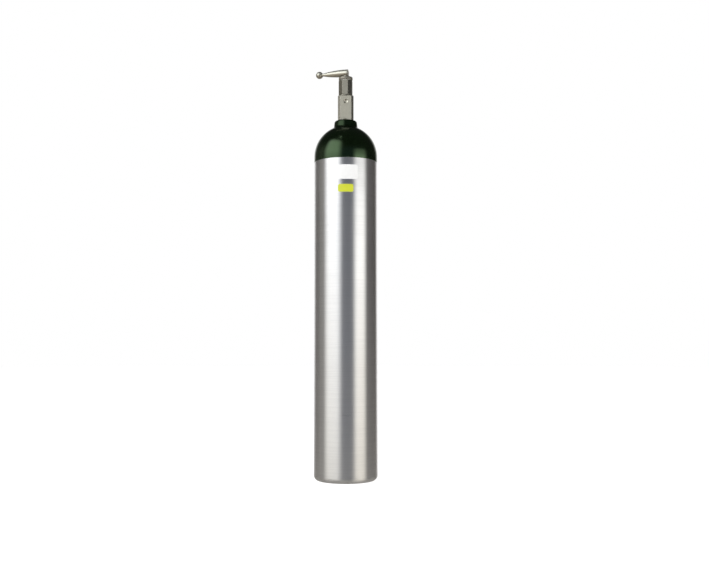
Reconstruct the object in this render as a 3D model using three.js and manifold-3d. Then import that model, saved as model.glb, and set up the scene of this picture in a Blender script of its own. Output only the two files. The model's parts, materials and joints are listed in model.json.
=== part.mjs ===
// A seamless aluminium medical-gas cylinder with a post valve, which a toggle handle opens and shuts.
//
// Millimetres, +Z up. The origin is the centre of the base, on the surface that the cylinder stands on.
// The pit for a regulator yoke's clamp screw faces -Y, and the gas outlet and its pin-index holes face +Y.
// Heights named *_Z are above the base. The valve's own heights are above the top of the cylinder's neck.

import * as THREE from "three";
import { mergeVertices } from "three/addons/utils/BufferGeometryUtils.js";
import Module from "manifold-3d";

const wasm = await Module();
wasm.setup();

// ---------------------------------------------------------------- driving dimensions

const GAP = 0.3; // between pieces that touch or press on each other in the real assembly
const CUT = 1; // how far a cutting shape runs past the face that it opens
const OVERLAP = 0.5; // how far two shapes run into each other where they join into one piece

const BARREL_SIDES = 60;
const FINE_SIDES = 32; // the valve's larger round pieces
const SMALL_SIDES = 16; // rings and holes a few millimetres across

// The cylinder.
const BARREL_R = 57.15; // 4.5 inches across
const WALL = 5.3;
const BASE_THICK = 9.5;
const BASE_CORNER_R = 9.5;
const BASE_INNER_CORNER_R = 12;
const DISH_R = 38; // shallow hollow under the base, so that it stands on a ring
const DISH_DEPTH = 1.2;
const DOME_Z = 584; // centre of the hemispherical shoulder
const INNER_DOME_DROP = 4.5; // the inner dome's centre is this much lower, which thickens the shoulder
const NECK_TOP_Z = 650.2; // 25.6 inches tall, without the valve
const NECK_R = 20.5; // at its top; it widens a little to its base
const NECK_BASE_R = 21.2;
const NECK_FILLET_R = 6.5;
const NECK_RIM_R = 3.2;
const PORT_R = 9.52; // 3/4-16 thread
const O_RING_SEAT = { r: 12, depth: 3.4 };

// The green coat on the shoulder and neck.
const PAINT_LOW_Z = 573;
const PAINT_GAP = 0.03;
const PAINT_THICK = 0.25;

// Two plain stickers on the front of the barrel.
const STICKER = { cornerR: 3.5, gap: 0.04, thick: 0.2 };
const WHITE_STICKER = { z: 547, width: 44, height: 26 };
const YELLOW_STICKER = { z: 518, width: 28, height: 14 };

// The valve body.
const POST = { width: 28.6, depth: 25.4, chamfer: 4, bevel: 1.2, low: GAP, high: 46.6 };
const STEM = { low: -23, noseR: 8, threadLow: -20, threadHigh: -4.4, reliefR: 8.6 };
const THREAD = { pitch: 25.4 / 16, depth: 0.9 };
const BOSS = { r: 10, high: 59.8 }; // carries the bonnet nut
const INLET_BORE_R = 2;
const FILTER_SEAT = { r: 4.6, high: -14.5 };
const SEAT = { z: 25.8, r: 3.2, height: 1 };
const CHAMBER_R = 6.2;
const PLUG_BORE = { r: 7.2, low: 37.8 };
const OUTLET = { z: 35.3, r: 3.5, depth: 4.5, passageR: 1.6 };
const PIN_HOLES = { circleR: 14.29, angle: 18, r: 2.375, depth: 6.5 }; // the two holes that mean oxygen
const YOKE_PIT = { r: 4, depth: 3.4 };
const VENT_NOTCH = { r: 3, depth: 3 };

// The pressure relief device, low on the outlet side.
const RELIEF = { z: 7.4, r: 4.2, floor: 5, passageR: 1 };
const RELIEF_FIT_R = 3.9;
const RELIEF_HEAD = { flats: 11, height: 3.6, boreR: 1.5, ventR: 1 };

// The bonnet nut and what it holds down.
const BONNET = { flats: 24.9, low: 48.2, high: 76, bevel: 0.9, collarR: 12.1 };
const BONNET_BORE = { r: 10.3, shoulder: 61.1 };
const BONNET_TURN = THREE.MathUtils.degToRad(-6); // where it came tight
const SHAFT_R = 4;
const SHAFT_BORE_R = 4.25;
const SLIP_WASHER = { low: 59.6, high: 60.8, innerR: 4.3, outerR: 6.6 };
const BONNET_GASKET = { low: 60.1, high: 60.8, innerR: 7.5, outerR: 9.8 };
const THRUST_WASHER = { low: 76.3, high: 77.3, innerR: 4.6, outerR: 10.5 };

// The spindle, which turns in place, and the plug, which its tang screws up and down.
const SPINDLE = { collarLow: 55.8, collarHigh: 59.3, collarR: 6.6, squareLow: 77.2, high: 91.4 };
const TANG = { low: 47.4, width: 10, thick: 2.3 };
const DRIVE_SQUARE = 5.5;
const SPINDLE_RINGS = [66, 71];
const RING_GROOVE = { r: 2.5, width: 2.2 };
const SPINDLE_RING = { r: 3.37, tubeR: 0.72 };
const PLUG = { low: 26.4, noseR: 4.4, noseHigh: 39.4, r: 6.9, high: 52.8, slotLow: 44.8, slotWidth: 2.9 };
const SEAT_DISC = { low: 26.1, high: 28.1, r: 3.55, recessR: 3.85, recessHigh: 28.4 };

// The handle, measured from the underside of its hub. Its lever points to -X before HANDLE_TURN.
const HANDLE_LOW = 77.6;
const HANDLE_TURN = THREE.MathUtils.degToRad(-16);
const HUB = { r: 12.75, height: 5, roundR: 1.2, bossR: 4.6 };
const LEVER = { z: 13.2, endR: 6.8, back: 4.7, ballAt: 50.6, ballR: 6.6, neckR: 2.6 };
const SOCKET = { width: 5.9, high: 14.2 };
const SCREW = { headR: 3.25, top: 19.3, shankR: 1.45, low: 9, seatR: 3.55, holeR: 1.9, key: 2.5 };

// ---------------------------------------------------------------- shape helpers

// A closed geometry as a solid, facing out whichever way its outline was drawn.
function solid(geometry) {
  const bare = new THREE.BufferGeometry().setAttribute("position", geometry.getAttribute("position"));
  bare.setIndex(geometry.index);
  const merged = mergeVertices(bare, 1e-4);
  const corners = [];
  for (let i = 0; i < merged.index.count; i += 3) {
    const [a, b, c] = [0, 1, 2].map((k) => merged.index.getX(i + k));
    if (a !== b && b !== c && c !== a) corners.push(a, b, c);
  }
  const make = (triVerts) =>
    new wasm.Manifold(
      new wasm.Mesh({ numProp: 3, vertProperties: merged.attributes.position.array, triVerts }),
    );
  const made = make(new Uint32Array(corners));
  return made.volume() > 0 ? made : make(new Uint32Array(corners.reverse()));
}

// Points on an arc in a [radius, height] profile. Angles are in degrees from straight outward.
function arc(r, z, radius, from, to, steps) {
  return Array.from({ length: steps + 1 }, (_, i) => {
    const angle = THREE.MathUtils.degToRad(from + ((to - from) * i) / steps);
    return [r + radius * Math.cos(angle), z + radius * Math.sin(angle)];
  });
}

// A profile of [radius, height] points turned about Z.
function latheZ(profile, sides = FINE_SIDES) {
  const points = profile.map(([r, z]) => new THREE.Vector2(Math.max(r, 0), z));
  return new THREE.LatheGeometry(points, sides).rotateX(Math.PI / 2);
}

function turned(profile, sides) {
  return solid(latheZ(profile, sides));
}

// A round bar from low to high.
function bar(r, low, high, sides = FINE_SIDES) {
  return turned([[0, low], [r, low], [r, high], [0, high]], sides);
}

// A round hole or bar along +Y, from one y to another, at height z.
function barAlongY(r, from, to, z, x = 0, sides = SMALL_SIDES) {
  const profile = [[0, from], [r, from], [r, to], [0, to]];
  return solid(latheZ(profile, sides).rotateX(-Math.PI / 2).translate(x, 0, z));
}

// A flat ring with square edges.
function washer({ innerR, outerR, low, high }, sides = FINE_SIDES) {
  return turned([[innerR, low], [outerR, low], [outerR, high], [innerR, high], [innerR, low]], sides);
}

// A ring of round section, centred on z.
function ring(r, tubeR, z, sides = FINE_SIDES) {
  return solid(new THREE.TorusGeometry(r, tubeR, 8, sides).translate(0, 0, z));
}

// An outline pushed up from low to high, with both edges bevelled inside the outline.
function prism(outline, low, high, bevel = 0) {
  const geometry = new THREE.ExtrudeGeometry(outline, {
    depth: high - low - 2 * bevel,
    bevelEnabled: bevel > 0,
    bevelThickness: bevel,
    bevelSize: bevel,
    bevelOffset: -bevel,
    bevelSegments: 1,
    curveSegments: 6,
  });
  return geometry.translate(0, 0, low + bevel);
}

function chamferedRectangle(width, depth, chamfer) {
  const [x, y, c] = [width / 2, depth / 2, chamfer];
  const corners = [
    [x, c - y], [x, y - c], [x - c, y], [c - x, y],
    [-x, y - c], [-x, c - y], [c - x, -y], [x - c, -y],
  ];
  return new THREE.Shape(corners.map((p) => new THREE.Vector2(...p)));
}

// A regular polygon with a flat facing each way along Y.
function polygon(sides, flats) {
  const cornerR = flats / 2 / Math.cos(Math.PI / sides);
  const corners = Array.from({ length: sides }, (_, i) => {
    const angle = Math.PI / 2 + ((i + 0.5) * 2 * Math.PI) / sides;
    return new THREE.Vector2(cornerR * Math.cos(angle), cornerR * Math.sin(angle));
  });
  return new THREE.Shape(corners);
}

function roundedRectangle(width, height, r) {
  const [x, y] = [width / 2, height / 2];
  const outline = new THREE.Shape();
  outline.absarc(x - r, y - r, r, 0, Math.PI / 2, false);
  outline.absarc(r - x, y - r, r, Math.PI / 2, Math.PI, false);
  outline.absarc(r - x, r - y, r, Math.PI, 1.5 * Math.PI, false);
  outline.absarc(x - r, r - y, r, 1.5 * Math.PI, 2 * Math.PI, false);
  return outline;
}

// A rod with a V thread, which runs past low and high. Each row of points climbs one pitch in a turn, and
// the rows are root and crest by turns, half a pitch apart, so that a row leads into the row two above it.
// Rows start at a whole number of pitches, so a rod and the hole that is tapped for it match.
function threadedRod(crestR, rootR, pitch, low, high, sides = 18) {
  const start = (Math.floor(low / pitch) - 2) * pitch;
  const rows = 2 * Math.ceil((high - start) / pitch) + 2;
  const positions = [0, 0, start, 0, 0, start + ((rows + 1) * pitch) / 2];
  for (let row = 0; row <= rows; row++) {
    const r = row % 2 ? crestR : rootR;
    for (let i = 0; i < sides; i++) {
      const angle = (2 * Math.PI * i) / sides;
      positions.push(r * Math.cos(angle), r * Math.sin(angle), start + (row / 2 + i / sides) * pitch);
    }
  }
  const at = (i, row) => (i < sides ? 2 + row * sides + i : 2 + (row + 2) * sides);
  const faces = [];
  for (let i = 0; i < sides; i++) {
    const last = i < sides - 1 ? rows : rows - 2;
    for (let row = 0; row < last; row++) {
      faces.push(at(i, row), at(i + 1, row), at(i + 1, row + 1));
      faces.push(at(i, row), at(i + 1, row + 1), at(i, row + 1));
    }
  }
  const around = Array.from({ length: sides }, (_, i) => i);
  const bottom = [...around.map((i) => at(i, 0)), at(0, 2), at(0, 1)];
  const top = [...around.map((i) => at(i, rows)), at(sides - 1, rows - 1), at(sides - 1, rows - 2)];
  bottom.forEach((v, k) => faces.push(0, bottom[(k + 1) % bottom.length], v));
  top.forEach((v, k) => faces.push(1, v, top[(k + 1) % top.length]));
  const geometry = new THREE.BufferGeometry();
  return geometry.setAttribute("position", new THREE.Float32BufferAttribute(positions, 3)).setIndex(faces);
}

// ---------------------------------------------------------------- the cylinder

// The outside of the shoulder and neck from the paint's lower edge to the neck's top, moved out by offset.
function shoulderOutline(offset) {
  const reach = NECK_BASE_R + NECK_FILLET_R;
  const rise = Math.sqrt((BARREL_R + NECK_FILLET_R) ** 2 - reach ** 2);
  const meet = THREE.MathUtils.radToDeg(Math.atan2(rise, reach));
  const rim = [NECK_R - NECK_RIM_R, NECK_TOP_Z - NECK_RIM_R];
  return [
    [BARREL_R + offset, PAINT_LOW_Z],
    ...arc(0, DOME_Z, BARREL_R + offset, 0, meet, 7),
    ...arc(reach, DOME_Z + rise, NECK_FILLET_R - offset, 180 + meet, 180, 3),
    ...arc(...rim, NECK_RIM_R + offset, 0, 90, 2),
  ];
}

function cylinderShell() {
  const innerR = BARREL_R - WALL;
  const innerDomeZ = DOME_Z - INNER_DOME_DROP;
  const portAngle = THREE.MathUtils.radToDeg(Math.acos(PORT_R / innerR));
  const cornerIn = BASE_INNER_CORNER_R;
  const dish = [0, 0.5, 1].map((share) => [share * DISH_R, DISH_DEPTH * (1 - share ** 2)]);
  const rough = turned(
    [
      ...dish,
      ...arc(BARREL_R - BASE_CORNER_R, BASE_CORNER_R, BASE_CORNER_R, -90, 0, 4),
      ...shoulderOutline(0),
      [O_RING_SEAT.r, NECK_TOP_Z],
      [O_RING_SEAT.r, NECK_TOP_Z - O_RING_SEAT.depth],
      [PORT_R - THREAD.depth, NECK_TOP_Z - O_RING_SEAT.depth],
      ...arc(0, innerDomeZ, innerR, portAngle + 1, 0, 6),
      ...arc(innerR - cornerIn, BASE_THICK + cornerIn, cornerIn, 0, -90, 3),
      [0, BASE_THICK],
    ],
    BARREL_SIDES,
  );
  const [tapLow, tapHigh] = [STEM.low - CUT, OVERLAP - O_RING_SEAT.depth];
  const thread = threadedRod(PORT_R + GAP, PORT_R - THREAD.depth + GAP, THREAD.pitch, tapLow, tapHigh);
  const tap = solid(thread.translate(0, 0, NECK_TOP_Z));
  return rough.subtract(tap.intersect(bar(PORT_R + 1, NECK_TOP_Z + tapLow, NECK_TOP_Z + tapHigh)));
}

function shoulderPaint() {
  return turned(
    [
      ...shoulderOutline(PAINT_GAP + PAINT_THICK),
      ...shoulderOutline(PAINT_GAP).reverse(),
      shoulderOutline(PAINT_GAP + PAINT_THICK)[0],
    ],
    BARREL_SIDES,
  );
}

// A film that follows the front of the barrel, cut to a rounded rectangle.
function sticker({ z, width, height }) {
  const innerR = BARREL_R + STICKER.gap;
  const sleeve = washer(
    { innerR, outerR: innerR + STICKER.thick, low: z - height, high: z + height },
    BARREL_SIDES,
  );
  const outline = roundedRectangle(width, height, STICKER.cornerR);
  const cutter = prism(outline, 0, BARREL_R + CUT).rotateX(Math.PI / 2).translate(0, 0, z);
  return sleeve.intersect(solid(cutter));
}

function neckRing() {
  const tubeR = 1.4;
  return ring((STEM.reliefR + O_RING_SEAT.r) / 2, tubeR, (POST.low - O_RING_SEAT.depth) / 2);
}

// ---------------------------------------------------------------- the valve body

function inletStem() {
  const thread = threadedRod(PORT_R, PORT_R - THREAD.depth, THREAD.pitch, STEM.threadLow, STEM.threadHigh);
  const lead = 1; // chamfer at each end of the thread
  const blank = turned([
    [0, STEM.threadLow], [STEM.noseR, STEM.threadLow], [PORT_R + 0.1, STEM.threadLow + lead],
    [PORT_R + 0.1, STEM.threadHigh - lead], [STEM.reliefR - 0.2, STEM.threadHigh], [0, STEM.threadHigh],
  ]);
  return solid(thread)
    .intersect(blank)
    .add(bar(STEM.noseR, STEM.low, STEM.threadLow + OVERLAP))
    .add(bar(STEM.reliefR, STEM.threadHigh - OVERLAP, POST.low + OVERLAP));
}

// The gas way up the middle: filter seat, inlet bore, raised seat, chamber and the plug's bore.
function innerPassage() {
  return turned([
    [0, STEM.low - CUT], [FILTER_SEAT.r, STEM.low - CUT], [FILTER_SEAT.r, FILTER_SEAT.high],
    [INLET_BORE_R, FILTER_SEAT.high], [INLET_BORE_R, SEAT.z], [SEAT.r, SEAT.z],
    [SEAT.r + 0.5, SEAT.z - SEAT.height], [CHAMBER_R, SEAT.z - SEAT.height], [CHAMBER_R, PLUG_BORE.low],
    [PLUG_BORE.r, PLUG_BORE.low + 1], [PLUG_BORE.r, BOSS.high + CUT], [0, BOSS.high + CUT],
  ]);
}

function outletCut() {
  const face = POST.depth / 2;
  return barAlongY(OUTLET.passageR, 0, face, OUTLET.z).add(
    barAlongY(OUTLET.r, face - OUTLET.depth, face + CUT, OUTLET.z),
  );
}

function pinHoleCuts() {
  const face = POST.depth / 2;
  const angle = THREE.MathUtils.degToRad(PIN_HOLES.angle);
  const x = PIN_HOLES.circleR * Math.sin(angle);
  const z = OUTLET.z - PIN_HOLES.circleR * Math.cos(angle);
  return [-x, x].map((side) => barAlongY(PIN_HOLES.r, face - PIN_HOLES.depth, face + CUT, z, side));
}

function yokePitCut() {
  const face = -POST.depth / 2;
  const cone = [[0, face + YOKE_PIT.depth], [YOKE_PIT.r, face], [YOKE_PIT.r, face - CUT], [0, face - CUT]];
  return solid(latheZ(cone).rotateX(-Math.PI / 2).translate(0, 0, OUTLET.z));
}

function reliefCut() {
  return barAlongY(RELIEF.passageR, 0, RELIEF.floor + CUT, RELIEF.z).add(
    barAlongY(RELIEF.r, RELIEF.floor, POST.depth / 2 + CUT, RELIEF.z),
  );
}

function ventNotchCut() {
  const face = -POST.depth / 2;
  return barAlongY(VENT_NOTCH.r, face - CUT, face + VENT_NOTCH.depth, POST.low);
}

function valveBody() {
  const outline = chamferedRectangle(POST.width, POST.depth, POST.chamfer);
  const post = solid(prism(outline, POST.low, POST.high, POST.bevel));
  const cuts = [innerPassage(), outletCut(), ...pinHoleCuts(), yokePitCut(), reliefCut(), ventNotchCut()];
  const blank = post.add(bar(BOSS.r, POST.high - CUT, BOSS.high)).add(inletStem());
  return cuts.reduce((left, cut) => left.subtract(cut), blank);
}

// A cup of sintered bronze that gas enters from below.
function inletFilter() {
  const [outerR, innerR, low, high, roof] = [4.3, 2.6, -22.7, -15, 1.8];
  const profile = [
    [innerR, low], [outerR, low], [outerR, high], [0, high], [0, high - roof], [innerR, high - roof],
    [innerR, low],
  ];
  return turned(profile, SMALL_SIDES);
}

// ---------------------------------------------------------------- the pressure relief device
// These are drawn along +Z, and their group turns that to +Y.

function ruptureDisc() {
  return bar(RELIEF_FIT_R, RELIEF.floor + GAP, RELIEF.floor + 0.8, SMALL_SIDES);
}

function reliefGasket() {
  return washer(
    { innerR: 2, outerR: RELIEF_FIT_R, low: RELIEF.floor + 1.1, high: RELIEF.floor + 2 },
    SMALL_SIDES,
  );
}

function reliefPlug() {
  const low = RELIEF.floor + 2.3;
  const headLow = POST.depth / 2 + GAP;
  const high = headLow + RELIEF_HEAD.height;
  const ventAt = headLow + RELIEF_HEAD.height / 2;
  const crossHole = new THREE.CylinderGeometry(
    RELIEF_HEAD.ventR, RELIEF_HEAD.ventR, 2 * RELIEF_HEAD.flats, 12,
  );
  const blank = bar(RELIEF_FIT_R, low, headLow + CUT, SMALL_SIDES)
    .add(solid(prism(polygon(6, RELIEF_HEAD.flats), headLow, high, 0.6)))
    .subtract(bar(RELIEF_HEAD.boreR, low - CUT, ventAt + RELIEF_HEAD.ventR, SMALL_SIDES));
  return [0, 1, 2].reduce((left, third) => {
    const hole = crossHole.clone().rotateZ((third * Math.PI) / 3).translate(0, 0, ventAt);
    return left.subtract(solid(hole));
  }, blank);
}

// ---------------------------------------------------------------- the bonnet

function bonnetNut() {
  const octagon = solid(prism(polygon(8, BONNET.flats), BONNET.low, BONNET.high, BONNET.bevel));
  const collar = bar(BONNET.collarR, POST.high + GAP, BONNET.low + CUT);
  const hollow = turned([
    [0, POST.high - CUT], [BONNET_BORE.r, POST.high - CUT], [BONNET_BORE.r, BONNET_BORE.shoulder],
    [SHAFT_BORE_R, BONNET_BORE.shoulder], [SHAFT_BORE_R, BONNET.high + CUT], [0, BONNET.high + CUT],
  ]);
  return octagon.add(collar).subtract(hollow);
}

// ---------------------------------------------------------------- what turns with the handle

function spindle() {
  const groove = (z) => [
    [SHAFT_R, z - RING_GROOVE.width / 2], [RING_GROOVE.r, z - RING_GROOVE.width / 2],
    [RING_GROOVE.r, z + RING_GROOVE.width / 2], [SHAFT_R, z + RING_GROOVE.width / 2],
  ];
  const shaft = turned(
    [
      [0, SPINDLE.collarLow], [SPINDLE.collarR, SPINDLE.collarLow], [SPINDLE.collarR, SPINDLE.collarHigh],
      [SHAFT_R, SPINDLE.collarHigh], ...SPINDLE_RINGS.flatMap(groove), [SHAFT_R, SPINDLE.squareLow],
      [0, SPINDLE.squareLow],
    ],
    20,
  );
  const tang = new THREE.BoxGeometry(TANG.width, TANG.thick, SPINDLE.collarLow + CUT - TANG.low);
  const square = new THREE.BoxGeometry(DRIVE_SQUARE, DRIVE_SQUARE, SPINDLE.high + CUT - SPINDLE.squareLow);
  const screwHoleLow = HANDLE_LOW + SCREW.low - CUT;
  return shaft
    .add(solid(tang.translate(0, 0, (TANG.low + SPINDLE.collarLow + CUT) / 2)))
    .add(solid(square.translate(0, 0, (SPINDLE.squareLow + SPINDLE.high - CUT) / 2)))
    .subtract(bar(SCREW.shankR + GAP, screwHoleLow, SPINDLE.high + CUT, SMALL_SIDES));
}

function spindleRing(z) {
  return ring(SPINDLE_RING.r, SPINDLE_RING.tubeR, z, SMALL_SIDES);
}

function valvePlug() {
  const blank = turned([
    [0, PLUG.low], [PLUG.noseR, PLUG.low], [PLUG.noseR, PLUG.noseHigh], [PLUG.r - 0.4, PLUG.noseHigh],
    [PLUG.r, PLUG.noseHigh + 0.4], [PLUG.r, PLUG.high], [0, PLUG.high],
  ]);
  const slotDepth = PLUG.high + CUT - PLUG.slotLow;
  const slot = new THREE.BoxGeometry(3 * PLUG.r, PLUG.slotWidth, slotDepth);
  return blank
    .subtract(bar(SEAT_DISC.recessR, PLUG.low - CUT, SEAT_DISC.recessHigh, SMALL_SIDES))
    .subtract(solid(slot.translate(0, 0, PLUG.slotLow + slotDepth / 2)));
}

function seatDisc() {
  return bar(SEAT_DISC.r, SEAT_DISC.low, SEAT_DISC.high, SMALL_SIDES);
}

// The lever's taper from its thick end over the spindle to the neck below the ball, as [along, radius].
const LEVER_TAPER = [[0, 6.8], [14, 6.5], [24, 5.7], [32, 4.7], [38, 3.6], [42, 2.85], [44.4, 2.6]];

function toggleHandle() {
  const hub = turned([
    [0, 0], [HUB.r - 0.5, 0], [HUB.r, 0.5],
    ...arc(HUB.r - HUB.roundR, HUB.height - HUB.roundR, HUB.roundR, 0, 90, 3), [0, HUB.height],
  ]);
  const boss = bar(HUB.bossR, HUB.height - CUT, LEVER.z, SMALL_SIDES);
  const neckAngle = THREE.MathUtils.radToDeg(Math.asin(LEVER.neckR / LEVER.ballR));
  const lever = latheZ(
    [
      [0, -LEVER.back], ...arc(LEVER.endR - 1, 1 - LEVER.back, 1, -90, 0, 2),
      ...LEVER_TAPER.map(([along, r]) => [r, along]),
      ...arc(0, LEVER.ballAt, LEVER.ballR, neckAngle - 90, 90, 8),
    ],
    20,
  );
  const socket = new THREE.BoxGeometry(SOCKET.width, SOCKET.width, SOCKET.high + CUT);
  const seatLow = SCREW.top - SCREW.headR + SCREW.shankR;
  const leverTop = LEVER.z + LEVER.endR;
  const screwSeat = turned(
    [
      [0, SOCKET.high - CUT], [SCREW.holeR, SOCKET.high - CUT], [SCREW.holeR, seatLow],
      [SCREW.seatR, SCREW.top], [SCREW.seatR, leverTop + CUT], [0, leverTop + CUT],
    ],
    SMALL_SIDES,
  );
  return hub
    .add(boss)
    .add(solid(lever.rotateY(-Math.PI / 2).translate(0, 0, LEVER.z)))
    .subtract(solid(socket.translate(0, 0, (SOCKET.high - CUT) / 2)))
    .subtract(screwSeat);
}

function handleScrew() {
  const shankTop = SCREW.top - GAP - (SCREW.headR - SCREW.shankR);
  const keyway = prism(polygon(6, SCREW.key), SCREW.top - 1.6, SCREW.top + CUT);
  return turned(
    [[0, SCREW.low], [SCREW.shankR, SCREW.low], [SCREW.shankR, shankTop], [SCREW.headR, SCREW.top - GAP],
      [SCREW.headR, SCREW.top], [0, SCREW.top]],
    SMALL_SIDES,
  ).subtract(solid(keyway));
}

// ---------------------------------------------------------------- materials and assembly

function finish(color, roughness, metalness) {
  return new THREE.MeshStandardMaterial({ color, roughness, metalness });
}

const MATERIALS = {
  aluminium: finish(0xb9bbbe, 0.32, 1),
  greenEnamel: finish(0x0b2412, 0.15, 0),
  chrome: finish(0xa9a898, 0.3, 1),
  brass: finish(0xb08d4a, 0.35, 1),
  copper: finish(0xb5653a, 0.35, 1),
  bronze: finish(0x8c6a3c, 0.7, 1),
  steel: finish(0x8f9092, 0.35, 1),
  rubber: finish(0x151515, 0.7, 0),
  whitePlastic: finish(0xece9e0, 0.45, 0),
  whiteFilm: finish(0xf7f7f7, 0.35, 0),
  yellowFilm: finish(0xdfe33e, 0.35, 0),
};

function part(name, made, material) {
  const { numProp, numVert, vertProperties, triVerts } = made.getMesh();
  const points = new THREE.Float32BufferAttribute(numVert * 3, 3);
  for (let i = 0; i < numVert; i++) {
    points.setXYZ(i, ...vertProperties.subarray(i * numProp, i * numProp + 3));
  }
  const geometry = new THREE.BufferGeometry().setAttribute("position", points);
  geometry.setIndex(new THREE.BufferAttribute(triVerts, 1)).computeVertexNormals();
  const mesh = new THREE.Mesh(geometry, material);
  mesh.name = name;
  return mesh;
}

const reliefDevice = new THREE.Group();
reliefDevice.position.z = RELIEF.z;
reliefDevice.rotation.x = -Math.PI / 2;
reliefDevice.add(
  part("rupture_disc", ruptureDisc(), MATERIALS.copper),
  part("relief_gasket", reliefGasket(), MATERIALS.whitePlastic),
  part("relief_plug", reliefPlug(), MATERIALS.brass),
);

const handle = new THREE.Group();
handle.position.z = HANDLE_LOW;
handle.add(
  part("toggle_handle", toggleHandle(), MATERIALS.chrome),
  part("handle_screw", handleScrew(), MATERIALS.steel),
);

const turning = new THREE.Group();
turning.rotation.z = HANDLE_TURN;
turning.add(
  handle,
  part("spindle", spindle(), MATERIALS.brass),
  part("lower_spindle_o_ring", spindleRing(SPINDLE_RINGS[0]), MATERIALS.rubber),
  part("upper_spindle_o_ring", spindleRing(SPINDLE_RINGS[1]), MATERIALS.rubber),
  part("slip_washer", washer(SLIP_WASHER, SMALL_SIDES), MATERIALS.whitePlastic),
  part("thrust_washer", washer(THRUST_WASHER), MATERIALS.whitePlastic),
  part("valve_plug", valvePlug(), MATERIALS.brass),
  part("seat_disc", seatDisc(), MATERIALS.whitePlastic),
);

const bonnet = part("bonnet_nut", bonnetNut(), MATERIALS.chrome);
bonnet.rotation.z = BONNET_TURN;

const valve = new THREE.Group();
valve.position.z = NECK_TOP_Z;
valve.add(
  part("valve_body", valveBody(), MATERIALS.chrome),
  part("inlet_filter", inletFilter(), MATERIALS.bronze),
  part("neck_o_ring", neckRing(), MATERIALS.rubber),
  bonnet,
  part("bonnet_gasket", washer(BONNET_GASKET), MATERIALS.copper),
  reliefDevice,
  turning,
);

const gasCylinder = new THREE.Group();
gasCylinder.add(
  part("cylinder_shell", cylinderShell(), MATERIALS.aluminium),
  part("shoulder_paint", shoulderPaint(), MATERIALS.greenEnamel),
  part("white_sticker", sticker(WHITE_STICKER), MATERIALS.whiteFilm),
  part("yellow_sticker", sticker(YELLOW_STICKER), MATERIALS.yellowFilm),
  valve,
);

export default gasCylinder;
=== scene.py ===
"""A medical gas cylinder with a toggle-handled post valve, on a pale floor in a small studio.

Lengths are millimetres times MM, so that they read like the drawing of the object. Heights on the valve are
above the top of the cylinder's neck, and heights on the handle are above the underside of its hub.
"""

import json
import math

import bmesh
import bpy
from mathutils import Matrix, Vector


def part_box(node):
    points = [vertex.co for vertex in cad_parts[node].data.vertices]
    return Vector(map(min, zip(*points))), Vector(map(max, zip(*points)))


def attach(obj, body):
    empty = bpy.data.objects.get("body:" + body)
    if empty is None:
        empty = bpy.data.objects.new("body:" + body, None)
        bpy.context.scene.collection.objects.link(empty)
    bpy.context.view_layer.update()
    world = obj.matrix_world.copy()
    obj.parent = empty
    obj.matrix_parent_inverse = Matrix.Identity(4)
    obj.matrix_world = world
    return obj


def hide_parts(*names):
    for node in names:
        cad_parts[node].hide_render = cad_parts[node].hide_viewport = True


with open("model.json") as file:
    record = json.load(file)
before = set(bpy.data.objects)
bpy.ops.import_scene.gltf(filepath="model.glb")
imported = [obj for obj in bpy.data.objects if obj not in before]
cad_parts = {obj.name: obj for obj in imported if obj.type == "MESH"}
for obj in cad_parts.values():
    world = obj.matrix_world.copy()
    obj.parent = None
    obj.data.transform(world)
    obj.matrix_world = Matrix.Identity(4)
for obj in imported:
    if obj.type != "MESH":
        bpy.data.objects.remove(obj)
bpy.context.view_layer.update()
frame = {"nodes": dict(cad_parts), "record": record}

MM = 0.001
BARREL_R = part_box("cylinder_shell")[1].x
NECK_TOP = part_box("cylinder_shell")[1].z
DOME_Z = 584 * MM  # centre of the hemispherical shoulder
PAINT_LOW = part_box("shoulder_paint")[0].z
PAINT_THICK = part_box("shoulder_paint")[1].x - BARREL_R
HANDLE_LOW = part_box("toggle_handle")[0].z
HANDLE_TURN = math.radians(-16)
BONNET_TURN = math.radians(-6)
PEAK = 2.0  # radiance of the brightest part of the softboxes
EDGE_SAMPLES = 6  # rays that a material sends out to find the edges near a point


# ---------------------------------------------------------------- camera

def make_camera():
    """A long view from the front, a third of the way up the object, tipped up a little."""
    distance, height, tilt = 1.69, 0.2411, 4.233
    data = bpy.data.cameras.new("camera")
    data.sensor_width = 36
    data.lens = 47.37
    data.shift_x = 0.0124
    data.shift_y = -0.0095
    camera = bpy.data.objects.new("camera", data)
    camera.location = (0, -distance, height)
    camera.rotation_euler = (math.radians(90 + tilt), 0, 0)
    bpy.context.scene.collection.objects.link(camera)
    bpy.context.scene.camera = camera


make_camera()


# ---------------------------------------------------------------- mesh helpers

def arc(r, z, radius, start, end, steps=12):
    """(radius, height) points on an arc about (r, z), with angles in degrees from straight outward."""
    angles = [math.radians(start + (end - start) * i / steps) for i in range(steps + 1)]
    return [(r + radius * math.cos(a), z + radius * math.sin(a)) for a in angles]


def new_object(name, mesh, smooth_below=35):
    """An object from a bmesh, shaded smooth except at edges sharper than that angle."""
    bmesh.ops.recalc_face_normals(mesh, faces=mesh.faces)
    data = bpy.data.meshes.new(name)
    mesh.to_mesh(data)
    mesh.free()
    data.shade_smooth()
    data.set_sharp_from_angle(angle=math.radians(smooth_below))
    made = bpy.data.objects.new(name, data)
    bpy.context.scene.collection.objects.link(made)
    return made


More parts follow.
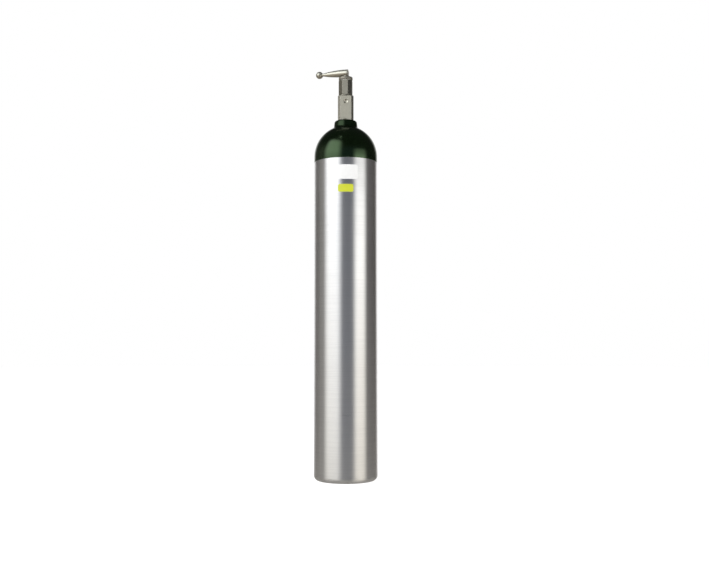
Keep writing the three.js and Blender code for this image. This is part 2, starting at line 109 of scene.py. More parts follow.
def lathe(name, profile, sides=96, closed=False):
    """The (radius, height) points of profile turned about Z."""
    mesh = bmesh.new()
    turns = [2 * math.pi * i / sides for i in range(sides)]
    rings = []
    for r, z in profile:
        if r < 1e-6:
            rings.append([mesh.verts.new((0, 0, z))] * sides)
        else:
            rings.append([mesh.verts.new((r * math.cos(a), r * math.sin(a), z)) for a in turns])
    if closed:
        rings.append(rings[0])
    for low, high in zip(rings, rings[1:]):
        for i in range(sides):
            j = (i + 1) % sides
            corners = list(dict.fromkeys([low[i], low[j], high[j], high[i]]))
            if len(corners) > 2:
                mesh.faces.new(corners)
    return new_object(name, mesh)


def rod(name, r, low, high, sides=48):
    return lathe(name, [(0, low), (r, low), (r, high), (0, high)], sides)


def prism(name, outline, low, high):
    """A flat outline of (x, y) points pushed up from low to high."""
    mesh = bmesh.new()
    bottom = mesh.faces.new([mesh.verts.new((x, y, low)) for x, y in outline])
    grown = bmesh.ops.extrude_face_region(mesh, geom=[bottom])["geom"]
    risen = [v for v in grown if isinstance(v, bmesh.types.BMVert)]
    bmesh.ops.translate(mesh, verts=risen, vec=(0, 0, high - low))
    return new_object(name, mesh)


def polygon(sides, flats):
    """Corners of a regular polygon with a flat facing each way along Y."""
    corner_r = flats / 2 / math.cos(math.pi / sides)
    turns = [math.pi / 2 + (i + 0.5) * 2 * math.pi / sides for i in range(sides)]
    return [(corner_r * math.cos(a), corner_r * math.sin(a)) for a in turns]


def moved(piece, matrix):
    """Moves a piece's mesh, so that its material's coordinates stay those of the whole object."""
    piece.data.transform(matrix)
    return piece


def along_y(piece, x=0, z=0):
    """Turns a piece drawn along +Z to run along +Y."""
    return moved(piece, Matrix.Translation((x, 0, z)) @ Matrix.Rotation(-math.pi / 2, 4, "X"))


def settle(piece):
    """Replaces a piece's mesh with what its modifiers make of it."""
    seen = piece.evaluated_get(bpy.context.evaluated_depsgraph_get())
    data = bpy.data.meshes.new_from_object(seen)
    piece.modifiers.clear()
    piece.data = data
    return piece


def combine(piece, other, how):
    """Cuts another piece from this one, or adds it, and throws the other away."""
    step = piece.modifiers.new("combine", "BOOLEAN")
    step.operation = how
    step.solver = "EXACT"
    step.object = other
    settle(piece)
    bpy.data.objects.remove(other)
    return piece


def soften(piece, width, segments=3, angle=30):
    """Rounds a piece's edges."""
    step = piece.modifiers.new("soften", "BEVEL")
    step.width = width
    step.segments = segments
    step.limit_method = "ANGLE"
    step.angle_limit = math.radians(angle)
    settle(piece)
    piece.data.shade_smooth()
    piece.data.set_sharp_from_angle(angle=math.radians(45))
    return piece


def even_shading(piece, smooth_below):
    """Smooths across edges blunter than that angle, and keeps the large flat faces looking flat."""
    piece.data.set_sharp_from_angle(angle=math.radians(smooth_below))
    step = piece.modifiers.new("even_shading", "WEIGHTED_NORMAL")
    step.mode = "FACE_AREA"
    step.weight = 100
    step.keep_sharp = True
    return settle(piece)


# ---------------------------------------------------------------- material helpers

class Nodes:
    """Adds nodes to a tree. A value that a method takes may be a number, a colour or a node's output."""

    def __init__(self, tree):
        self.tree = tree

    def add(self, kind, inputs=None, **settings):
        node = self.tree.nodes.new("ShaderNode" + kind)
        for key, value in settings.items():
            setattr(node, key, value)
        for key, value in (inputs or {}).items():
            if isinstance(value, bpy.types.NodeSocket):
                self.tree.links.new(value, node.inputs[key])
            else:
                node.inputs[key].default_value = value
        return node

    def spread(self, value, low, high, to_low=0.0, to_high=1.0):
        """Value from low to high becomes to_low to to_high, and stays in between."""
        inputs = {"Value": value, 1: low, 2: high, 3: to_low, 4: to_high}
        return self.add("MapRange", inputs).outputs[0]

    def sum(self, a, b, how="ADD"):
        return self.add("Math", {0: a, 1: b}, operation=how).outputs[0]

    def blend(self, share, a, b):
        """Colour a where share is 0, and b where it is 1."""
        mix = self.add("Mix", data_type="RGBA")
        for socket, value in ((mix.inputs[0], share), (mix.inputs[6], a), (mix.inputs[7], b)):
            if isinstance(value, bpy.types.NodeSocket):
                self.tree.links.new(value, socket)
            else:
                socket.default_value = (*value, 1) if isinstance(value, tuple) else value
        return mix.outputs[2]

    def ramp(self, value, stops):
        """The colour at value, from (value, colour) stops in order."""
        first, last = stops[0][0], stops[-1][0]
        node = self.add("ValToRGB", {"Fac": self.spread(value, first, last)})
        elements = node.color_ramp.elements
        elements.remove(elements[1])
        for at, colour in stops:
            element = elements[0] if at == first else elements.new((at - first) / (last - first))
            element.position = (at - first) / (last - first)
            element.color = (*colour, 1)
        return node.outputs[0]


class Surface(Nodes):
    """One material's nodes around a Principled shader."""

    def __init__(self, name, **settings):
        self.material = bpy.data.materials.new(name)
        self.material.use_nodes = True
        super().__init__(self.material.node_tree)
        self.shader = self.tree.nodes["Principled BSDF"]
        for key, value in settings.items():
            self.shader.inputs[key.replace("_", " ")].default_value = value
        self.place = self.add("TexCoord").outputs["Object"]

    def link(self, socket, key):
        self.tree.links.new(socket, self.shader.inputs[key])

    def noise(self, stretch=(1, 1, 1), scale=1.0, detail=3.0, rough=0.5):
        """Noise with that many features to the metre, times the stretch along each axis."""
        vector = self.add("Mapping", {"Vector": self.place, "Scale": stretch}).outputs[0]
        inputs = {"Vector": vector, "Scale": scale, "Detail": detail, "Roughness": rough}
        return self.add("TexNoise", inputs).outputs[0]

    def bump(self, height, distance, strength=1.0, rounding=0.0):
        """Bumps of that height in metres. Rounding softens the look of edges over that distance."""
        inputs = {"Height": height, "Distance": distance, "Strength": strength}
        if rounding:
            inputs["Normal"] = self.add("Bevel", {"Radius": rounding}, samples=EDGE_SAMPLES).outputs[0]
        self.link(self.add("Bump", inputs).outputs[0], "Normal")

    def edges(self, radius):
        """1 along the edges of a piece, to that distance from them, and 0 on its faces."""
        rounded = self.add("Bevel", {"Radius": radius}, samples=EDGE_SAMPLES).outputs[0]
        flat = self.add("NewGeometry").outputs["Normal"]
        facing = self.add("VectorMath", {0: rounded, 1: flat}, operation="DOT_PRODUCT").outputs["Value"]
        return self.spread(facing, 0.99, 0.86)


def brushed_aluminium():
    """Bare aluminium, brushed round the barrel, with faint blotches and scuffs by the floor."""
    s = Surface("brushed_aluminium", Metallic=0.94, Anisotropic=0.85, Anisotropic_Rotation=0.25)
    tangent = s.add("Tangent", direction_type="RADIAL", axis="Z")
    s.link(tangent.outputs[0], "Tangent")
    grain = s.noise((20, 20, 5200), detail=2)
    streaks = s.noise((7, 7, 620), detail=4, rough=0.6)
    blotches = s.noise(scale=11, detail=3)
    height = s.add("SeparateXYZ", {"Vector": s.place}).outputs["Z"]
    low = s.spread(height, 0.0, 0.016, 1.0, 0.0)
    scuffs = s.sum(low, s.spread(s.noise((90, 90, 500), detail=5, rough=0.7), 0.5, 0.66), "MULTIPLY")
    tone = s.blend(s.spread(grain, 0.3, 0.7), (0.70, 0.71, 0.72), (0.83, 0.83, 0.83))
    tone = s.blend(s.spread(streaks, 0.42, 0.72, 0.0, 0.22), tone, (0.60, 0.60, 0.61))
    s.link(s.blend(s.sum(scuffs, 0.6, "MULTIPLY"), tone, (0.30, 0.29, 0.28)), "Base Color")
    rough = s.sum(s.spread(blotches, 0.3, 0.7, 0.27, 0.33), s.spread(streaks, 0.35, 0.75, 0.0, 0.06))
    s.link(s.sum(rough, s.sum(scuffs, 0.2, "MULTIPLY")), "Roughness")
    s.bump(s.sum(grain, s.sum(streaks, 0.5, "MULTIPLY")), 0.02 * MM, 0.4)
    return s.material


def green_enamel():
    """Gloss enamel with a little orange peel, dust, a worn lower edge and a duller neck."""
    s = Surface("green_enamel", IOR=1.75, Specular_Tint=(0.64, 1.0, 0.54, 1))
    dark, light = (0.0016, 0.0042, 0.0012), (0.0026, 0.0065, 0.0021)
    tone = s.blend(s.spread(s.noise(scale=28), 0.3, 0.7), dark, light)
    height = s.add("SeparateXYZ", {"Vector": s.place}).outputs["Z"]
    rim = s.spread(height, PAINT_LOW, PAINT_LOW + 1.2 * MM, 1.0, 0.0)
    worn = s.sum(rim, s.spread(s.noise(scale=420, detail=4), 0.46, 0.62), "MULTIPLY")
    tone = s.blend(s.sum(worn, 0.5, "MULTIPLY"), tone, (0.09, 0.14, 0.09))
    dust = s.spread(s.noise(scale=1500, detail=2), 0.68, 0.8, 0.0, 0.12)
    s.link(s.blend(dust, tone, (0.12, 0.16, 0.12)), "Base Color")
    neck = s.spread(height, NECK_TOP - 26 * MM, NECK_TOP - 12 * MM)
    s.link(s.spread(neck, 0, 1, 0.5, 0.26), "Specular IOR Level")
    mottled = s.spread(s.noise(scale=60, detail=4), 0.3, 0.7, 0.12, 0.20)
    s.link(s.sum(mottled, s.sum(neck, 0.05, "MULTIPLY")), "Roughness")
    s.bump(s.noise(scale=330, detail=2), 0.03 * MM, 0.5)
    return s.material


def satin_chrome(name, tone, smooth, matte):
    """Plated brass, matte on its front and back, smooth on its other faces, with edges lightened partly by
    rubbing and partly as a painted highlight, and painted shade on the faces that look down.
    """
    s = Surface(name, Metallic=0.96)
    normal = s.add("SeparateXYZ", {"Vector": s.add("NewGeometry").outputs["Normal"]}).outputs
    ground = s.spread(s.sum(normal["Y"], 0, "ABSOLUTE"), 0.8, 0.95)
    grain = s.noise((900, 900, 160), scale=3, detail=3)
    clouds = s.noise(scale=130, detail=4)
    edge = s.edges(0.5 * MM)
    dull = tuple(0.82 * c for c in tone)
    colour = s.blend(s.spread(grain, 0.3, 0.7), dull, tone)
    colour = s.blend(s.spread(clouds, 0.45, 0.75, 0.0, 0.25), colour, tuple(0.7 * c for c in tone))
    # Edges are lightened, partly as rubbed plating and partly as a painted highlight.
    colour = s.blend(s.sum(edge, 0.7, "MULTIPLY"), colour, (0.86, 0.84, 0.78))
    # Painted shade: faces that look down are darkened towards a dark brown.
    underside_shade = s.spread(normal["Z"], 0.1, -0.3)
    s.link(s.blend(s.sum(underside_shade, 0.75, "MULTIPLY"), colour, (0.10, 0.085, 0.07)), "Base Color")
    rough = s.sum(s.spread(ground, 0, 1, smooth, matte), s.spread(clouds, 0.3, 0.7, -0.03, 0.03))
    s.link(rough, "Roughness")
    s.bump(grain, 0.02 * MM, 0.4, rounding=0.35 * MM)
    return s.material


def polished_chrome():
    """Satin plate on a casting, with its faint waves, a painted highlight on top, painted shade below with a
    dark painted band, and painted shade on the hub.
    """
    s = Surface("polished_chrome", Metallic=0.8)
    up = s.add("SeparateXYZ", {"Vector": s.add("NewGeometry").outputs["Normal"]}).outputs["Z"]
    height = s.add("SeparateXYZ", {"Vector": s.place}).outputs["Z"]
    waves = s.noise(scale=190, detail=2)
    wear = s.noise(scale=900, detail=4, rough=0.7)
    # Painted highlight and shade: bright where the faces look up, dull below, with a dark painted band on
    # faces that look partly down.
    colour = s.ramp(up, [
        (-1.0, (0.34, 0.31, 0.25)), (-0.5, (0.36, 0.33, 0.27)), (-0.36, (0.16, 0.14, 0.11)),
        (-0.2, (0.50, 0.48, 0.40)), (0.1, (0.80, 0.79, 0.69)), (1.0, (0.80, 0.79, 0.69)),
    ])
    # Painted shade: the hub under the lever is darkened.
    hub_top = HANDLE_LOW + 5.6 * MM
    hub = s.spread(height, hub_top, hub_top + 0.6 * MM, 1.0, 0.0)
    colour = s.blend(hub, colour, (0.36, 0.34, 0.29))
    colour = s.blend(s.spread(wear, 0.4, 0.75, 0.0, 0.3), colour, (0.30, 0.28, 0.23))
    s.link(colour, "Base Color")
    rough = s.sum(s.spread(waves, 0.3, 0.7, 0.30, 0.38), s.spread(wear, 0.5, 0.8, 0.0, 0.12))
    s.link(s.sum(rough, s.sum(hub, 0.2, "MULTIPLY")), "Roughness")
    s.bump(waves, 0.06 * MM, 0.25, rounding=0.7 * MM)
    return s.material


def machined(name, light, dark, roughness):
    """Turned or sintered metal, with fine rings from the tool and dull patches."""
    s = Surface(name, Metallic=1.0)
    rings = s.noise((60, 60, 4000), detail=2)
    patches = s.noise(scale=260, detail=4)
    s.link(s.blend(s.spread(patches, 0.35, 0.7), light, dark), "Base Color")
    s.link(s.spread(rings, 0.3, 0.7, roughness, roughness + 0.12), "Roughness")
    s.bump(rings, 0.02 * MM, 0.5, rounding=0.3 * MM)
    return s.material


def moulded(name, light, dark, roughness, grain=2200):
    """Rubber or plastic with a fine dull grain."""
    s = Surface(name)
    fine = s.noise(scale=grain, detail=3)
    s.link(s.blend(s.spread(s.noise(scale=200), 0.3, 0.7), light, dark), "Base Color")
    s.link(s.spread(fine, 0.3, 0.7, roughness, roughness + 0.15), "Roughness")
    s.bump(fine, 0.03 * MM, 0.4)
    return s.material


def film(name, tone):
    """Printed film that shows a little of the brushed metal under it."""
    s = Surface(name, Coat_Weight=0.3, Coat_Roughness=0.2)
    grain = s.noise((20, 20, 2600), detail=2)
    colour = s.blend(s.spread(grain, 0.35, 0.75, 0.0, 0.12), tone, tuple(0.8 * c for c in tone))
    edge = s.edges(0.3 * MM)
    s.link(s.blend(s.sum(edge, 0.35, "MULTIPLY"), colour, (0.55, 0.55, 0.53)), "Base Color")
    s.link(s.spread(s.noise(scale=300), 0.3, 0.7, 0.34, 0.46), "Roughness")
    s.bump(grain, 0.02 * MM, 0.3)
    return s.material


MATERIALS = {
    "brushed_aluminium": brushed_aluminium(),
    "green_enamel": green_enamel(),
    "chrome_plate": satin_chrome("chrome_plate", (0.92, 0.90, 0.77), 0.24, 0.62),
    # A darker copy of the same chrome plate for the bonnet nut: painted shade.
    "shaded_bonnet_plate": satin_chrome("shaded_bonnet_plate", (0.56, 0.545, 0.46), 0.22, 0.55),
    "polished_chrome": polished_chrome(),
    "brass": machined("brass", (0.60, 0.42, 0.19), (0.42, 0.28, 0.12), 0.25),
    "copper": machined("copper", (0.60, 0.28, 0.16), (0.42, 0.18, 0.10), 0.3),
    "sintered_bronze": machined("sintered_bronze", (0.35, 0.22, 0.10), (0.22, 0.13, 0.06), 0.55),
    "steel": machined("steel", (0.42, 0.42, 0.42), (0.28, 0.28, 0.28), 0.3),
    "rubber": moulded("rubber", (0.014, 0.014, 0.014), (0.024, 0.023, 0.022), 0.5),
    "white_plastic": moulded("white_plastic", (0.78, 0.77, 0.72), (0.70, 0.69, 0.64), 0.4),
    "white_film": film("white_film", (0.88, 0.88, 0.88)),
    "yellow_film": film("yellow_film", (0.60, 0.64, 0.035)),
}


def placed(piece, body, slot, *nodes, material=None):
    """Gives a piece its material and body, and lets it stand for its CAD nodes."""
    piece.data.materials.clear()
    piece.data.materials.append(MATERIALS[material or slot])
    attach(piece, body)
    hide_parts(*nodes)


# ---------------------------------------------------------------- the cylinder

def shoulder_outline(offset):
    """The outside of the dome and neck, from the barrel to the neck's flat top, moved out by offset."""
    neck_r, neck_base_r, fillet_r, rim_r = 20.5 * MM, 21.2 * MM, 6.5 * MM, 3.2 * MM
    reach = neck_base_r + fillet_r
    rise = math.sqrt((BARREL_R + fillet_r) ** 2 - reach**2)
    meet = math.degrees(math.atan2(rise, reach))
    return (
        arc(0, DOME_Z, BARREL_R + offset, 0, meet, 40)
        + arc(reach, DOME_Z + rise, fillet_r - offset, 180 + meet, 180, 12)
        + arc(neck_r - rim_r, NECK_TOP - rim_r, rim_r + offset, 0, 90, 10)
    )


def make_barrel():
    """The seamless shell with its wall, hollow base, rounded corner, dome and neck."""
    wall, base_thick, corner, inner_corner = 5.3 * MM, 9.5 * MM, 9.5 * MM, 12 * MM
    dish_r, dish_depth, dish_steps = 38 * MM, 1.2 * MM, 10
    seat_r, seat_z, port_r = 12 * MM, NECK_TOP - 3.4 * MM, 9.2 * MM
    inner_r = BARREL_R - wall
    inner_dome_z = DOME_Z - 4.5 * MM
    port_angle = math.degrees(math.acos(port_r / inner_r))
    shares = [i / dish_steps for i in range(dish_steps + 1)]
    profile = (
        [(dish_r * share, dish_depth * (1 - share**2)) for share in shares]
        + arc(BARREL_R - corner, corner, corner, -90, 0, 14)
        + [(BARREL_R, 80 * MM * i) for i in range(1, 8)]
        + shoulder_outline(0)
        + [(seat_r, NECK_TOP), (seat_r, seat_z), (port_r, seat_z)]
        + arc(0, inner_dome_z, inner_r, port_angle, 0, 24)
        + arc(inner_r - inner_corner, base_thick + inner_corner, inner_corner, 0, -90, 8)
        + [(0, base_thick)]
    )
    placed(lathe("barrel", profile, 192), "cylinder", "brushed_aluminium", "cylinder_shell")


def make_shoulder_coat():
    """The enamel, a thin skin with a rounded lower lip."""
    gap = 0.03 * MM
    outer = shoulder_outline(PAINT_THICK)
    inner = shoulder_outline(gap)
    lip_r = (PAINT_THICK - gap) / 2
    lip = arc(BARREL_R + (PAINT_THICK + gap) / 2, PAINT_LOW + 0.1 * MM, lip_r, -180, 0, 6)
    profile = lip + outer + inner[::-1]
    placed(lathe("shoulder_coat", profile, 192, closed=True), "cylinder", "green_enamel", "shoulder_paint")


def make_sticker(name, node):
    """A thin film with rounded corners that follows the barrel."""
    gap, thick, corner_r, edge_round = 0.06 * MM, 0.14 * MM, 3.5 * MM, 0.04 * MM
    rows, columns = 24, 28
    low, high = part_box(node)
    half, middle, reach = high.x, (low.z + high.z) / 2, (high.z - low.z) / 2
    surface_r = BARREL_R + gap
    mesh = bmesh.new()
    grid = []
    for i in range(rows + 1):
        z = -reach * math.cos(math.pi * i / rows)
        into = max(0.0, abs(z) - (reach - corner_r))
        width = half - corner_r + math.sqrt(max(corner_r**2 - into**2, 0.0))
        angles = [width * (2 * j / columns - 1) / surface_r for j in range(columns + 1)]
        grid.append([
            mesh.verts.new((surface_r * math.sin(a), -surface_r * math.cos(a), middle + z)) for a in angles
        ])
    for below, above in zip(grid, grid[1:]):
        for j in range(columns):
            mesh.faces.new([below[j], below[j + 1], above[j + 1], above[j]])
    piece = new_object(name, mesh)
    step = piece.modifiers.new("thickness", "SOLIDIFY")
    step.thickness = thick
    step.offset = 1
    placed(soften(settle(piece), edge_round, 2), "cylinder", node.split("_")[0] + "_film", node)


# ---------------------------------------------------------------- the valve body and its relief plug

def valve(z):
    """A height on the valve, in millimetres above the neck's top, as a height in the scene."""
    return NECK_TOP + z * MM


RELIEF_Z = valve(7.4)


def make_stem():
    """The stem below the post, with ridges that stand for its thread. The neck hides it."""
    low, thread_low, thread_length, relief_z, high = -23, -20, 14, -4.4, 1
    pitch, depth, thread_r, nose_r, relief_r = 25.4 / 16, 0.9, 9.52, 8, 8.6
    ridges = 2 * int(thread_length / pitch) + 3
    profile = [
        (0, low), (nose_r, low), (nose_r, thread_low - 0.2),
        *[(thread_r - depth * (k % 2), thread_low + pitch * k / 2) for k in range(ridges)],
        (relief_r, relief_z), (relief_r, high), (0, high),
    ]
    return lathe("stem", [(r * MM, valve(z)) for r, z in profile], 64)


def make_valve_body():
    """The post with its outlet, index holes, pit and relief port, the stem below it and the boss above."""
    x, y, c = 14.3 * MM, 12.7 * MM, 4 * MM
    outline = [
        (x, c - y), (x, y - c), (x - c, y), (c - x, y), (-x, y - c), (-x, c - y), (c - x, -y), (x - c, -y),
    ]
    foot, top, boss_r, boss_top = valve(0.3), valve(46.6), 10 * MM, valve(59.8)
    post = prism("valve_post", outline, foot, top)
    soften(post, 1.2 * MM, 3, angle=60)
    beyond = y + MM
    outlet_z, outlet_r, outlet_depth, way_r = valve(35.3), 3.5 * MM, 4.5 * MM, 1.6 * MM
    pin_circle, pin_angle, pin_r, pin_depth = 14.29 * MM, math.radians(18), 2.375 * MM, 6.5 * MM
    pin_x, pin_z = pin_circle * math.sin(pin_angle), outlet_z - pin_circle * math.cos(pin_angle)
    pit_r, pit_depth = 4 * MM, 3.4 * MM
    relief_r, relief_floor = 4.2 * MM, 5 * MM
    notch_r = 3 * MM
    pit = lathe("yoke_pit", [(0, pit_depth - y), (pit_r, -y), (pit_r, -beyond), (0, -beyond)], 48)
    cutters = [
        along_y(rod("outlet", outlet_r, y - outlet_depth, beyond), z=outlet_z),
        along_y(rod("outlet_way", way_r, 0, y), z=outlet_z),
        along_y(rod("left_pin_hole", pin_r, y - pin_depth, beyond), -pin_x, pin_z),
        along_y(rod("right_pin_hole", pin_r, y - pin_depth, beyond), pin_x, pin_z),
        along_y(pit, z=outlet_z),
        along_y(rod("relief_port", relief_r, relief_floor, beyond), z=RELIEF_Z),
        along_y(rod("vent_notch", notch_r, -beyond, notch_r - y), z=foot),
    ]
    for cutter in cutters:
        combine(post, cutter, "DIFFERENCE")
    soften(post, 0.22 * MM, 2, angle=40)
    combine(post, rod("boss", boss_r, top - 0.6 * MM, boss_top, 64), "UNION")
    combine(post, make_stem(), "UNION")
    gas_way = [
        (0, -24), (4.6, -24), (4.6, -14.5), (2, -14.5), (2, 25.8), (3.2, 25.8), (3.7, 24.8), (6.2, 24.8),
        (6.2, 37.8), (7.2, 38.8), (7.2, 61), (0, 61),
    ]
    combine(post, lathe("gas_way", [(r * MM, valve(z)) for r, z in gas_way], 64), "DIFFERENCE")
    even_shading(post, 40)
    placed(post, "cylinder", "chrome_plate", "valve_body")


def make_relief_plug():
    """The hexagonal plug of the relief device, with a hole up its middle and six vents in its flats."""
    low, high, flats = 13 * MM, 16.6 * MM, 11 * MM
    shank_r, shank_low = 3.9 * MM, 7.3 * MM
    bore_r, bore_high, vent_r = 1.5 * MM, 15.6 * MM, MM
    plug = soften(prism("relief_plug_head", polygon(6, flats), low, high), 0.5 * MM, 3)
    combine(plug, rod("shank", shank_r, shank_low, low + MM), "UNION")
    combine(plug, rod("bore", bore_r, shank_low - 0.3 * MM, bore_high, 32), "DIFFERENCE")
    for third in range(3):
        vent = rod("vent", vent_r, -flats, flats, 32)
        turn = Matrix.Rotation(third * math.pi / 3, 4, "Z") @ Matrix.Rotation(math.pi / 2, 4, "X")
        combine(plug, moved(vent, Matrix.Translation((0, 0, (low + high) / 2)) @ turn), "DIFFERENCE")
    even_shading(plug, 40)
    placed(along_y(plug, z=RELIEF_Z), "cylinder", "brass", "relief_plug")


# ---------------------------------------------------------------- the bonnet nut and the handle

def make_bonnet_nut():
    """The octagonal nut, chamfered like a turned nut, on a round washer face."""
    face_low, low, high = valve(46.9), valve(48.2), valve(76)
    flats, face_r, flat_r, corner_r = 24.9 * MM, 12.1 * MM, 12 * MM, 13.7 * MM
    bottom_chamfer, top_chamfer, face_chamfer = 1.4 * MM, MM, 0.3 * MM
    nut = prism("bonnet_octagon", polygon(8, flats), low, high)
    moved(nut, Matrix.Rotation(BONNET_TURN, 4, "Z"))
    blank = [
        (0, low), (face_r, low), (corner_r, low + bottom_chamfer),
        (corner_r, high - top_chamfer), (flat_r, high), (0, high),
    ]
    combine(nut, lathe("turned_blank", blank, 128), "INTERSECT")
    soften(nut, 0.25 * MM, 2, angle=20)
    washer_face = [
        (0, face_low), (face_r - face_chamfer, face_low), (face_r, face_low + face_chamfer),
        (face_r, low + MM), (0, low + MM),
    ]
    combine(nut, lathe("washer_face", washer_face, 128), "UNION")
    hollow = [(0, 46), (10.3, 46), (10.3, 61.1), (4.25, 61.1), (4.25, 77), (0, 77)]
    combine(nut, lathe("hollow", [(r * MM, valve(z)) for r, z in hollow], 64), "DIFFERENCE")
    even_shading(nut, 30)
    placed(nut, "cylinder", "chrome_plate", "bonnet_nut", material="shaded_bonnet_plate")


def on_handle(piece):
    """Puts a piece that was drawn with the lever along -X where the handle stands."""
    return moved(piece, Matrix.Translation((0, 0, HANDLE_LOW)) @ Matrix.Rotation(HANDLE_TURN, 4, "Z"))


def make_toggle_handle():
    """The hub disc, the boss with its cast fillet, and the tapered lever that ends in a ball."""
    hub_r, hub_high, hub_round, edge = 12.75 * MM, 5 * MM, 1.2 * MM, 0.4 * MM
    boss_r, boss_fillet, boss_top_r = 4.6 * MM, 0.9 * MM, 4.2 * MM
    lever_z, ball_at, ball_r, neck_r = 13.2 * MM, 50.6 * MM, 6.6 * MM, 2.6 * MM
    back, back_r, back_round = 4.7 * MM, 6.8 * MM, 1.1 * MM
    hub = lathe("toggle_lever", [
        (0, 0), (hub_r - edge, 0), (hub_r, edge),
        *arc(hub_r - hub_round, hub_high - hub_round, hub_round, 0, 90, 10),
        *arc(boss_r + boss_fillet, hub_high + boss_fillet, boss_fillet, -90, -180, 8),
        (boss_r, 7 * MM), (boss_top_r, 8.4 * MM), (boss_top_r, lever_z), (0, lever_z),
    ], 96)
    taper = [
        (0, 6.8), (5, 6.75), (10, 6.62), (14, 6.46), (19, 6.12), (24, 5.67), (28, 5.22), (32, 4.69),
        (35, 4.2), (38, 3.62), (40, 3.2), (42, 2.85), (43.3, 2.66),
    ]
    neck_angle = math.degrees(math.asin(neck_r / ball_r))
    lever = lathe("lever", [
        (0, -back), *arc(back_r - back_round, back_round - back, back_round, -90, 0, 8),
        *[(r * MM, along * MM) for along, r in taper],
        *arc(0, ball_at, ball_r, neck_angle - 90, 90, 32),
    ], 96)
    moved(lever, Matrix.Translation((0, 0, lever_z)) @ Matrix.Rotation(-math.pi / 2, 4, "Y"))
    combine(hub, lever, "UNION")
    socket = prism("socket", polygon(4, 5.9 * MM), -MM, 14.2 * MM)
    seat = [(0, 13), (1.9, 13), (1.9, 17.5), (3.55, 19.3), (3.55, 21), (0, 21)]
    combine(hub, socket, "DIFFERENCE")
    combine(hub, lathe("screw_seat", [(r * MM, z * MM) for r, z in seat], 48), "DIFFERENCE")
    hub.data.set_sharp_from_angle(angle=math.radians(40))
    placed(on_handle(hub), "handle", "polished_chrome", "toggle_handle")


def make_handle_screw():
    """A countersunk screw with a hexagon socket."""
    low, top, head_r, shank_r = 9 * MM, 19.3 * MM, 3.25 * MM, 1.45 * MM
    head_height, rim, edge = 2.1 * MM, 0.3 * MM, 0.08 * MM
    key_flats, key_depth = 2.5 * MM, 1.6 * MM
    screw = lathe("handle_screw_head", [
        (0, low), (shank_r, low), (shank_r, top - head_height), (head_r, top - rim),
        (head_r, top - edge), (head_r - edge, top), (0, top),
    ], 64)
    combine(screw, prism("key", polygon(6, key_flats), top - key_depth, top + MM), "DIFFERENCE")
    even_shading(screw, 30)
    placed(on_handle(screw), "handle", "steel", "handle_screw")


def make_thrust_washer():
    low, high = valve(76.3), valve(77.3)
    inner_r, outer_r, edge = 4.6 * MM, 10.5 * MM, 0.15 * MM
    washer = lathe("slip_ring", [
        (inner_r, low), (outer_r - edge, low), (outer_r, low + edge), (outer_r, high - edge),
        (outer_r - edge, high), (inner_r, high),
    ], 96, closed=True)
    placed(washer, "handle", "white_plastic", "thrust_washer")


make_barrel()
make_shoulder_coat()
make_sticker("upper_sticker", "white_sticker")
make_sticker("lower_sticker", "yellow_sticker")
make_valve_body()
make_relief_plug()
make_bonnet_nut()
make_toggle_handle()
make_handle_screw()
make_thrust_washer()


def finish_cad_nodes():
    """Materials for the pieces that show as the CAD made them, which are inside the valve."""
    slots = {row["node"]: row["material_slot"] for row in frame["record"]["subparts"]}
    for node, piece in frame["nodes"].items():
        if not piece.hide_render:
            piece.data.materials.clear()
            piece.data.materials.append(MATERIALS[slots[node]])


finish_cad_nodes()


# ---------------------------------------------------------------- the studio

def make_floor():
    """A pale disc that glows a little, so that the shadow on it stays faint."""
    mesh = bmesh.new()
    bmesh.ops.create_circle(mesh, cap_ends=True, segments=96, radius=9)
    floor = new_object("floor", mesh)
    dark, light = (0.86, 0.86, 0.86), (0.90, 0.90, 0.90)
    s = Surface("floor", Roughness=0.75, Emission_Color=(1, 1, 1, 1), Emission_Strength=0.85)
    s.link(s.blend(s.spread(s.noise(scale=6), 0.3, 0.7), dark, light), "Base Color")
    floor.data.materials.append(s.material)
    floor.visible_glossy = False


def make_softbox(name, azimuth, distance, width, stops):
    """A tall soft light that faces the cylinder and fades to its sides.

    Azimuth is from the camera's side, anticlockwise from above. The (height, colour) stops are its radiance.
    """
    low, high = stops[0][0], stops[-1][0]
    data = bpy.data.lights.new(name, "AREA")
    data.shape = "RECTANGLE"
    data.size = width
    data.size_y = high - low
    data.energy = PEAK * math.pi * width * (high - low)
    data.use_nodes = True
    n = Nodes(data.node_tree)
    across = n.add("SeparateXYZ", {"Vector": n.add("NewGeometry").outputs["Parametric"]})
    to_side = n.sum(n.sum(across.outputs["X"], 0.5, "SUBTRACT"), 0, "ABSOLUTE")
    height = n.spread(across.outputs["Y"], 0, 1, low, high)
    fade = n.spread(to_side, 0.5, 0.22)
    n.tree.links.new(n.ramp(height, stops), n.tree.nodes["Emission"].inputs["Color"])
    n.tree.links.new(fade, n.tree.nodes["Emission"].inputs["Strength"])
    light = bpy.data.objects.new(name, data)
    turn = math.radians(azimuth)
    light.location = (distance * math.sin(turn), -distance * math.cos(turn), (low + high) / 2)
    light.rotation_euler = (math.pi / 2, 0, turn)
    light.visible_camera = False
    bpy.context.scene.collection.objects.link(light)


def make_snoot():
    """A narrow light from above, on the valve and handle only."""
    turn, rise, distance = math.radians(-36), math.radians(64), 0.9
    target = Vector((-12 * MM, 0, valve(78)))
    data = bpy.data.lights.new("snoot", "SPOT")
    data.energy = 1.6
    data.shadow_soft_size = 0.1
    data.spot_size = math.radians(6.8)
    data.spot_blend = 0.4
    light = bpy.data.objects.new("snoot", data)
    away = Vector((math.sin(turn) * math.cos(rise), -math.cos(turn) * math.cos(rise), math.sin(rise)))
    light.location = target + distance * away
    light.rotation_euler = away.to_track_quat("Z", "Y").to_euler()
    light.visible_camera = False
    bpy.context.scene.collection.objects.link(light)


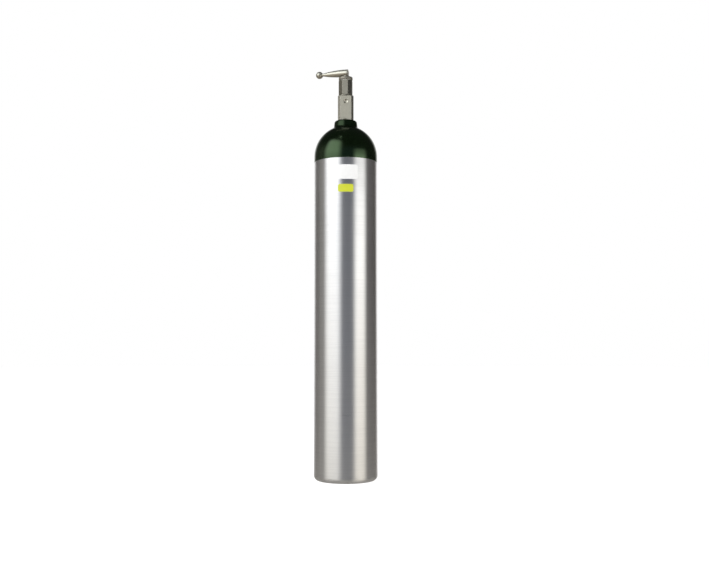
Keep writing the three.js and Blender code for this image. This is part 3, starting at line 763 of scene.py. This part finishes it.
def make_world():
    """A white backdrop, dim light from all round, and what the metal mirrors between the softboxes."""
    world = bpy.data.worlds.new("studio")
    world.use_nodes = True
    bpy.context.scene.world = world
    n = Nodes(world.node_tree)
    way = n.add("SeparateXYZ", {"Vector": n.add("TexCoord").outputs["Generated"]}).outputs
    azimuth = n.sum(way["X"], n.sum(way["Y"], -1, "MULTIPLY"), "ARCTAN2")
    around = n.ramp(n.sum(azimuth, 180 / math.pi, "MULTIPLY"), [
        (-180, (1.0, 1.0, 1.0)), (-158, (1.0, 1.0, 1.0)), (-140, (0.10, 0.09, 0.08)),
        (-116, (0.10, 0.095, 0.09)), (-101, (0.24, 0.23, 0.21)), (-88, (0.2, 0.19, 0.18)),
        (-25, (0.07, 0.09, 0.14)), (25, (0.07, 0.09, 0.14)), (80, (0.05, 0.05, 0.05)),
        (95, (0.03, 0.025, 0.03)), (140, (0.03, 0.025, 0.02)), (157, (1.0, 0.99, 0.97)),
        (180, (1.0, 1.0, 1.0)),
    ])
    mirrored = n.blend(n.spread(way["Z"], 0.3, 0.58), around, (0.03, 0.03, 0.03))
    mirrored = n.blend(n.spread(way["Z"], -0.05, -0.2), mirrored, (0.32, 0.30, 0.27))
    path = n.add("LightPath").outputs
    seen = n.blend(path["Is Glossy Ray"], (0.2, 0.2, 0.2), mirrored)
    seen = n.blend(path["Is Camera Ray"], seen, (1.0, 1.0, 1.0))
    n.tree.links.new(seen, n.tree.nodes["Background"].inputs["Color"])


make_floor()
make_world()
make_softbox("left_softbox", -49, 1.2, 1.8, [
    (-0.6, (0.20, 0.185, 0.155)), (0.0, (0.43, 0.415, 0.375)), (0.4, (0.56, 0.555, 0.54)),
    (0.9, (0.97, 0.98, 0.99)), (1.7, (0.95, 0.97, 0.97)), (2.2, (0.4, 0.4, 0.4)),
])
make_softbox("right_softbox", 52, 0.55, 0.58, [
    (-0.6, (0.16, 0.14, 0.11)), (-0.1, (0.41, 0.38, 0.325)), (0.3, (0.55, 0.53, 0.49)),
    (0.58, (1.0, 0.99, 0.97)), (0.66, (0.52, 0.52, 0.50)), (0.73, (0.38, 0.38, 0.36)),
    (0.80, (0.1, 0.1, 0.1)),
])
make_snoot()
bpy.context.scene.view_settings.view_transform = "Standard"
